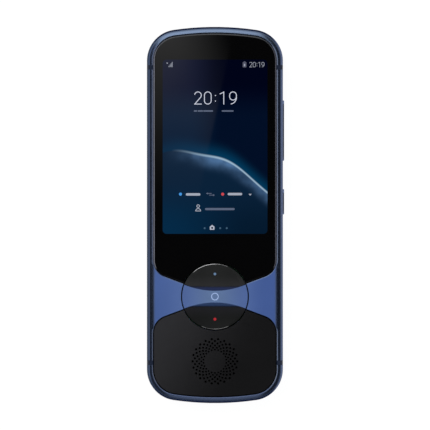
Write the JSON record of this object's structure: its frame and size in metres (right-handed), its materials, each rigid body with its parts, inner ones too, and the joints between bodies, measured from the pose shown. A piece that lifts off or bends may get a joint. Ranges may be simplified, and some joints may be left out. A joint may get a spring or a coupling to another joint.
{
  "type": "handheld translator",
  "caption": "slim bar-shaped handheld translator with a touch display, a round rocking key on a blue waist, a speaker grille, side keys and a card tray",
  "frame": {"origin": "middle of the flat back face, on the surface that the object lies on", "axes": "+Z out of the display, +Y towards the top end, +X towards the side with the volume and power keys"},
  "size_m": [0.0529, 0.145, 0.013],
  "materials": {
    "anodised_blue": "satin anodised blue aluminium with polished edges",
    "cover_blue": "fine satin blue coat",
    "antenna_strip": "dark blue moulded plastic",
    "cover_glass": "clear glass over black print and a lit display",
    "satin_black": "fine satin black coat",
    "key_black": "satin black moulding",
    "light_blue": "lit blue light guide",
    "light_red": "lit red light guide",
    "icon_silver": "pale blue print",
    "steel": "plain steel",
    "spring_steel": "thin stainless spring steel",
    "magnesium": "stamped aluminium",
    "board": "green solder mask",
    "flex": "amber flexible circuit",
    "shield": "tin-plated shield",
    "battery_wrap": "laminated foil pouch, dark wrap",
    "tape": "black foam tape",
    "clear_bond": "clear optical adhesive",
    "display": "display module",
    "mesh": "black woven dust mesh",
    "foam": "soft black foam",
    "black_plastic": "glass-filled black plastic",
    "magnet": "nickel-plated magnet",
    "copper": "wound copper wire",
    "cone_film": "pressed film cone",
    "surround": "soft rubber roll",
    "card_white": "plain white card",
    "lens_glass": "coated lens window",
    "flash_clear": "clear ribbed lens",
    "ring_metal": "turned and anodised ring"
  },
  "bodies": {
    "housing": {"frame": "anodised_blue", "antenna_breaks": "antenna_strip", "rear_cover": "cover_blue", "cover_glass": "cover_glass", "cover_glass_tape": "tape", "display_bond": "clear_bond", "display_module": "display", "lower_panel": "satin_black", "lower_panel_tape": "tape", "speaker_mesh": "mesh", "speaker_gasket": "foam", "speaker_basket": "black_plastic", "speaker_yoke": "steel", "speaker_magnet": "magnet", "speaker_pole": "steel", "speaker_surround": "surround", "speaker_bracket": "black_plastic", "key_bracket": "black_plastic", "key_board": "board", "key_domes": "spring_steel", "side_key_plate": "steel", "side_key_domes": "spring_steel", "sim_reader": "shield", "mid_plate": "magnesium", "plate_screws": "steel", "main_board": "board", "board_screws": "steel", "front_shield": "shield", "rear_shield": "shield", "battery": "battery_wrap", "battery_tapes": "tape", "usb_board": "board", "usb_receptacle": "steel", "usb_tongue": "black_plastic", "usb_screws": "steel", "bracket_screws": "steel", "link_flex": "flex", "microphones": "shield", "mic_boots": "foam", "camera_ring": "ring_metal", "camera_window": "lens_glass", "camera_module": "black_plastic", "camera_bracket": "steel", "flash_lens": "flash_clear", "flash_led": "card_white"},
    "key_carrier": {"key_carrier": "black_plastic"},
    "round_key": {"key_disc": "anodised_blue", "key_insert_upper": "key_black", "key_insert_lower": "key_black", "light_guide_blue": "light_blue", "light_guide_red": "light_red", "key_ring_icon": "icon_silver", "key_pivot_pin": "steel"},
    "volume_key": {"volume_key": "anodised_blue"},
    "power_key": {"power_key": "anodised_blue"},
    "card_tray": {"sim_tray": "anodised_blue", "sim_card": "card_white"},
    "speaker_cone": {"speaker_cone": "cone_film", "voice_coil": "copper"}
  },
  "joints": [
    {"name": "key_press", "type": "slide", "parent": "housing", "child": "key_carrier", "axis": [0, 0, -1], "range_m": [0, 0.00025], "stiffness_N_per_m": 800, "springref_m": -0.0005},
    {"name": "key_rock", "type": "hinge", "parent": "key_carrier", "child": "round_key", "pos_m": [0, -0.0314, 0.0096], "axis": [1, 0, 0], "range_deg": [-1.5, 1.5], "stiffness_Nm_per_rad": 0.6},
    {"name": "volume_rock", "type": "hinge", "parent": "housing", "child": "volume_key", "pos_m": [0.0238, 0.0326, 0.0072], "axis": [0, 0, 1], "range_deg": [-1.3, 1.3], "stiffness_Nm_per_rad": 0.5},
    {"name": "power_press", "type": "slide", "parent": "housing", "child": "power_key", "axis": [-1, 0, 0], "range_m": [0, 0.00025], "stiffness_N_per_m": 800, "springref_m": -0.0005},
    {"name": "tray_slide", "type": "slide", "parent": "housing", "child": "card_tray", "axis": [-1, 0, 0], "range_m": [0, 0.0165]},
    {"name": "cone_travel", "type": "slide", "parent": "housing", "child": "speaker_cone", "axis": [0, 0, 1], "range_m": [-0.00025, 0.00025], "stiffness_N_per_m": 1000}
  ]
}
